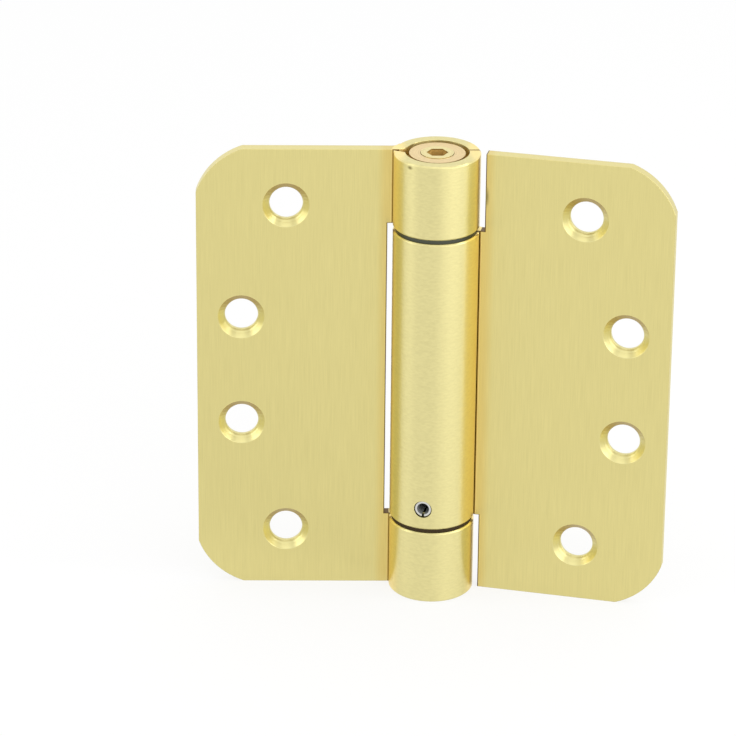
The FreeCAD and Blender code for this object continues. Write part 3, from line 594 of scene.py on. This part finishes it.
def turned_metal(name, colour, roughness, groove, matt_part=None, lie=None):
    """Metal turned on a lathe or sintered: rings about its axis, with a soft sheen across them.

    The axis is the barrel's unless a matrix says how the piece lies. A matt part is given as its colour, the
    level below which it lies and the radius within which it lies.
    """
    material, tree, output = new_material(name)
    where = add_node(tree, "ShaderNodeTexCoord").outputs["Object"]
    if lie:
        moved = {"Vector": where, "Location": lie.translation, "Rotation": lie.to_euler()}
        where = add_node(tree, "ShaderNodeMapping", moved, vector_type="POINT").outputs[0]
    _, _, level, radius = axes_and_radius(tree, where)
    run = add_node(tree, "ShaderNodeMath", {0: radius, 1: level}, operation="ADD").outputs[0]
    rings = tool_marks(tree, run, groove, detail=2.0)
    # Real specks are under 0.1 mm wide, and are drawn coarser so that they show
    grit = 0.6 * MM
    speckle = add_node(
        tree, "ShaderNodeTexNoise", {"Vector": where, "Scale": 1 / grit, "Detail": 3.0}
    ).outputs[0]
    speckle_share = 0.5
    patterns = {0: speckle_share, 2: rings, 3: speckle}
    texture = add_node(tree, "ShaderNodeMix", patterns, data_type="FLOAT").outputs[0]
    tone, rough = uneven(
        tree,
        texture,
        tuple(colour),
        shades=(0.86, 1.06),
        roughnesses=(roughness + 0.06, roughness - 0.06),
    )
    metallic = 1.0
    if matt_part:
        matt_colour, top, reach = matt_part
        matt_mask = where_all(tree, (level, top, "LESS_THAN"), (radius, reach, "LESS_THAN"))
        tones = {0: matt_mask, 6: tone, 7: rgba(matt_colour)}
        tone = add_node(tree, "ShaderNodeMix", tones, data_type="RGBA").outputs[2]
        matt_roughness = 0.7
        blurs = {0: matt_mask, 2: rough, 3: matt_roughness}
        rough = add_node(tree, "ShaderNodeMix", blurs, data_type="FLOAT").outputs[0]
        metallic = add_node(tree, "ShaderNodeMath", {0: 1.0, 1: matt_mask}, operation="SUBTRACT").outputs[0]
    bump = add_node(
        tree, "ShaderNodeBump", {"Strength": 0.3, "Distance": 0.02 * MM, "Height": texture}
    ).outputs[0]
    shader = add_node(
        tree,
        "ShaderNodeBsdfPrincipled",
        {"Base Color": tone, "Metallic": metallic, "Roughness": rough, "Normal": bump},
    )
    tree.links.new(shader.outputs[0], output.inputs[0])
    return material


def moulded_nylon(name, colour):
    """Black nylon from a mould: a soft even sheen with a fine grained skin."""
    material, tree, output = new_material(name)
    where = add_node(tree, "ShaderNodeTexCoord").outputs["Object"]
    # The mould's real grain is under 0.1 mm wide, and is drawn coarser so that it shows
    skin_grain = 0.25 * MM
    skin = add_node(
        tree, "ShaderNodeTexNoise", {"Vector": where, "Scale": 1 / skin_grain, "Detail": 3.0}
    ).outputs[0]
    tone, rough = uneven(tree, skin, tuple(colour), shades=(0.85, 1.15), roughnesses=(0.55, 0.68))
    bump = add_node(
        tree, "ShaderNodeBump", {"Strength": 0.3, "Distance": 0.02 * MM, "Height": skin}
    ).outputs[0]
    shader = add_node(
        tree,
        "ShaderNodeBsdfPrincipled",
        {"Base Color": tone, "Roughness": rough, "IOR": 1.53, "Specular IOR Level": 0.25, "Normal": bump},
    )
    tree.links.new(shader.outputs[0], output.inputs[0])
    return material


class HINGE_OT_finish_leaves(bpy.types.Operator):
    """Finishes both leaves with their knuckles and the lower cap in satin brass plating"""

    bl_idname = "hinge.finish_leaves"
    bl_label = "Finish Leaves"

    def execute(self, context):
        finish = context.scene.hinge_finish
        # The sheared faces start a little before the slots, at their rounded edges
        slot_margin = 0.15 * MM
        # A nick in the plating just under the upper knuckle's rim
        nick = (Vector((-5.9, -7.06, 100.7)) * MM, (0.9 * MM, 0.9 * MM, 0.6 * MM))
        slot = (FRAME_SLOT_HALF_HEIGHT + slot_margin, "LESS_THAN")
        frame_side = satin_brass("satin_brass_plating_frame_leaf", finish, 0.0, nick, slot)
        finish_node("frame_leaf", frame_side)
        finish_node("lower_cap", frame_side)
        # A stain on the corner beside the upper knuckle
        leaf_turn = Matrix.Rotation(-DOOR_LEAF_TURN, 3, "Z")
        stain = (leaf_turn @ (Vector((10.3, 1.0, 92.0)) * MM), (1.0 * MM, 1.5 * MM, 3.2 * MM))
        slots = (DOOR_SLOTS_HALF_DISTANCE - slot_margin, "GREATER_THAN")
        door_side = satin_brass("satin_brass_plating_door_leaf", finish, DOOR_LEAF_TURN, stain, slots)
        finish_node("door_leaf", door_side)
        return {"FINISHED"}


class HINGE_OT_finish_lock(bpy.types.Operator):
    """Finishes the lock sleeve and the plug with the hex socket in turned brass"""

    bl_idname = "hinge.finish_lock"
    bl_label = "Finish Lock"

    def execute(self, context):
        finish = context.scene.hinge_finish
        sleeve_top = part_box("lock_sleeve")[1].z
        # Matt brown on the sleeve below its top, in the trench round the plug
        trench = (finish.socket_and_trench_brown, sleeve_top - 0.5 * MM, EVERYWHERE)
        sleeve_brass = turned_metal(
            "turned_pinkish_brass", finish.sleeve_brass, roughness=0.42, groove=0.5 * MM, matt_part=trench
        )
        finish_node("lock_sleeve", sleeve_brass)
        plug_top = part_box("lock_plug")[1].z
        # Matt brown in the hex socket
        socket = (finish.socket_and_trench_brown, plug_top - 0.3 * MM, SOCKET_RADIUS)
        plug_brass = turned_metal(
            "turned_yellow_brass", finish.plug_brass, roughness=0.3, groove=0.4 * MM, matt_part=socket
        )
        finish_node("lock_plug", plug_brass)
        return {"FINISHED"}


class HINGE_OT_finish_bearings(bpy.types.Operator):
    """Finishes the upper bush in dark sintered steel, the lower one in nylon and the washer in steel"""

    bl_idname = "hinge.finish_bearings"
    bl_label = "Finish Bearings"

    def execute(self, context):
        finish = context.scene.hinge_finish
        sintered = turned_metal("oiled_sintered_steel", finish.dark_steel, roughness=0.4, groove=0.3 * MM)
        finish_node("upper_bush", sintered)
        finish_node("lower_bush", moulded_nylon("moulded_black_nylon", finish.nylon))
        ground = turned_metal("ground_washer_steel", finish.bright_steel, roughness=0.25, groove=0.3 * MM)
        finish_node("thrust_washer", ground)
        return {"FINISHED"}


class HINGE_OT_finish_spring_train(bpy.types.Operator):
    """Finishes the spindle, the anchor and its pin in bright steel and both springs in tempered steel"""

    bl_idname = "hinge.finish_spring_train"
    bl_label = "Finish Spring Train"

    def execute(self, context):
        finish = context.scene.hinge_finish
        steel = turned_metal("bright_turned_steel", finish.bright_steel, roughness=0.28, groove=0.4 * MM)
        for name in ("tension_spindle", "spring_anchor"):
            finish_node(name, steel)
        # The pin lies square to the door leaf, so its rings run about its own axis
        low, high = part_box("anchor_pin")
        pin_level = Vector((0.0, 0.0, (low.z + high.z) / 2))
        upright = Matrix.Rotation(math.radians(-90), 4, "X") @ Matrix.Rotation(DOOR_LEAF_TURN, 4, "Z")
        pin_steel = turned_metal(
            "zinc_plated_pin_steel",
            finish.bright_steel,
            roughness=0.3,
            groove=0.6 * MM,
            # Matt grey on the inside of the hollow pin
            matt_part=(finish.pin_hollow_grey, EVERYWHERE, PIN_HOLLOW_RADIUS),
            lie=upright @ Matrix.Translation(-pin_level),
        )
        finish_node("anchor_pin", pin_steel)
        wire = turned_metal("oil_tempered_spring_wire", finish.spring_steel, roughness=0.38, groove=0.5 * MM)
        for name in ("torsion_spring", "lock_spring"):
            finish_node(name, wire)
        return {"FINISHED"}


class HINGE_OT_set_stage(bpy.types.Operator):
    """Lays a pale floor, hangs soft lamps and sets the camera"""

    bl_idname = "hinge.set_stage"
    bl_label = "Set Stage"

    def execute(self, context):
        stage = context.scene.hinge_stage
        self.lay_floor(stage)
        self.light_room(stage)
        self.hang_lamps()
        self.set_camera(stage)
        context.scene.view_settings.view_transform = "Standard"
        return {"FINISHED"}

    def lay_floor(self, stage):
        """A pale matt floor, which is partly plain white where the camera or a reflection sees it."""
        mesh = bpy.data.meshes.new("floor")
        shape = bmesh.new()
        bmesh.ops.create_grid(shape, x_segments=1, y_segments=1, size=3.0)
        shape.to_mesh(mesh)
        shape.free()
        floor = bpy.data.objects.new("floor", mesh)
        bpy.context.scene.collection.objects.link(floor)
        material, tree, output = new_material("matt_pale_floor")
        path = add_node(tree, "ShaderNodeLightPath").outputs
        seen = path["Is Camera Ray"]
        for ray in ("Is Glossy Ray", "Is Transmission Ray"):
            seen = add_node(tree, "ShaderNodeMath", {0: seen, 1: path[ray]}, operation="MAXIMUM").outputs[0]
        glow = add_node(
            tree, "ShaderNodeMath", {0: seen, 1: stage.floor_glow}, operation="MULTIPLY"
        ).outputs[0]
        matt = add_node(tree, "ShaderNodeBsdfDiffuse", {"Color": rgba(stage.floor_colour)}).outputs[0]
        white = add_node(tree, "ShaderNodeEmission").outputs[0]
        surface = add_node(tree, "ShaderNodeMixShader", {0: glow, 1: matt, 2: white}).outputs[0]
        tree.links.new(surface, output.inputs[0])
        mesh.materials.append(material)

    def light_room(self, stage):
        """Plain white surroundings that light the hinge from all sides."""
        world = bpy.data.worlds.new("white_room")
        world.use_nodes = True
        tree = world.node_tree
        tree.nodes.clear()
        room = add_node(tree, "ShaderNodeBackground", {"Color": (1, 1, 1, 1), "Strength": stage.sky_strength})
        output = add_node(tree, "ShaderNodeOutputWorld")
        tree.links.new(room.outputs[0], output.inputs[0])
        bpy.context.scene.world = world

    def hang_lamps(self):
        """A broad lamp overhead, a strip and a soft box at each side, and a soft box in front."""
        middle = Vector((0, 0, LEAF_MIDDLE))
        # Each lamp's name, place, width and height in metres, and power in watts
        for name, place, width, height, power in (
            ("overhead_lamp", Vector((0.0, -0.1, 1.2)), 0.8, 0.8, 0.95),
            ("left_strip", Vector((-0.58, -0.1, 0.34)), 0.14, 0.5, 0.3),
            ("left_soft_box", Vector((-0.54, -0.24, 0.26)), 0.12, 0.5, 0.18),
            ("right_soft_box", Vector((0.44, -0.4, 0.2)), 0.34, 0.6, 0.64),
            ("front_soft_box", Vector((0.25, -0.58, 0.28)), 0.3, 0.5, 0.4),
            ("right_strip", Vector((0.58, -0.1, 0.34)), 0.2, 0.55, 1.0),
        ):
            data = bpy.data.lights.new(name, "AREA")
            data.shape = "RECTANGLE"
            data.size = width
            data.size_y = height
            data.energy = power
            lamp = bpy.data.objects.new(name, data)
            lamp.location = place
            lamp.rotation_euler = (place - middle).to_track_quat("Z", "Y").to_euler()
            bpy.context.scene.collection.objects.link(lamp)

    def set_camera(self, stage):
        """The camera looks past the hinge, so that the hinge stands right of the middle."""
        azimuth, elevation = stage.camera_azimuth, stage.camera_elevation
        back = Vector(
            (
                math.sin(azimuth) * math.cos(elevation),
                -math.cos(azimuth) * math.cos(elevation),
                math.sin(elevation),
            )
        )
        data = bpy.data.cameras.new("camera")
        data.sensor_width = 36.0
        data.lens = stage.focal_length
        data.clip_start = 0.05
        data.clip_end = 20.0
        camera = bpy.data.objects.new("camera", data)
        # The barrel's middle comes this many of the 736 pixels right of the image's middle and below it
        pixels_right, pixels_below, image_width = 65.8, 4.3, 736
        focal_pixels = stage.focal_length / data.sensor_width * image_width
        look = (-back).to_track_quat("-Z", "Y").to_matrix()
        lean = Matrix.Rotation(stage.camera_roll, 3, "Z")
        pan = Matrix.Rotation(math.atan(pixels_right / focal_pixels), 3, "Y")
        tilt = Matrix.Rotation(math.atan(pixels_below / focal_pixels), 3, "X")
        camera.rotation_euler = (look @ lean @ pan @ tilt).to_euler()
        camera.location = Vector((0, 0, LEAF_MIDDLE)) + back * stage.camera_distance
        bpy.context.scene.collection.objects.link(camera)
        bpy.context.scene.camera = camera


OPERATORS = (
    HINGE_OT_finish_leaves,
    HINGE_OT_finish_lock,
    HINGE_OT_finish_bearings,
    HINGE_OT_finish_spring_train,
    HINGE_OT_set_stage,
)


class HINGE_PT_finishes(bpy.types.Panel):
    """Lists the hinge's finishes and its stage"""

    bl_idname = "HINGE_PT_finishes"
    bl_label = "Spring Door Hinge"
    bl_space_type = "VIEW_3D"
    bl_region_type = "UI"
    bl_category = "Hinge"

    def draw(self, context):
        for group in (context.scene.hinge_finish, context.scene.hinge_stage):
            for name in group.bl_rna.properties.keys():
                if name not in ("rna_type", "name"):
                    self.layout.prop(group, name)
        for operator in OPERATORS:
            self.layout.operator(operator.bl_idname)


CLASSES = (HingeFinish, HingeStage, *OPERATORS, HINGE_PT_finishes)


def register():
    for each in CLASSES:
        bpy.utils.register_class(each)
    bpy.types.Scene.hinge_finish = bpy.props.PointerProperty(type=HingeFinish)
    bpy.types.Scene.hinge_stage = bpy.props.PointerProperty(type=HingeStage)


def unregister():
    del bpy.types.Scene.hinge_stage
    del bpy.types.Scene.hinge_finish
    for each in reversed(CLASSES):
        bpy.utils.unregister_class(each)


def main():
    """Registers the add-on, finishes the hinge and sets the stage."""
    register()
    bpy.ops.hinge.finish_leaves()
    bpy.ops.hinge.finish_lock()
    bpy.ops.hinge.finish_bearings()
    bpy.ops.hinge.finish_spring_train()
    bpy.ops.hinge.set_stage()
    bpy.context.view_layer.update()


if __name__ == "__main__":
    main()
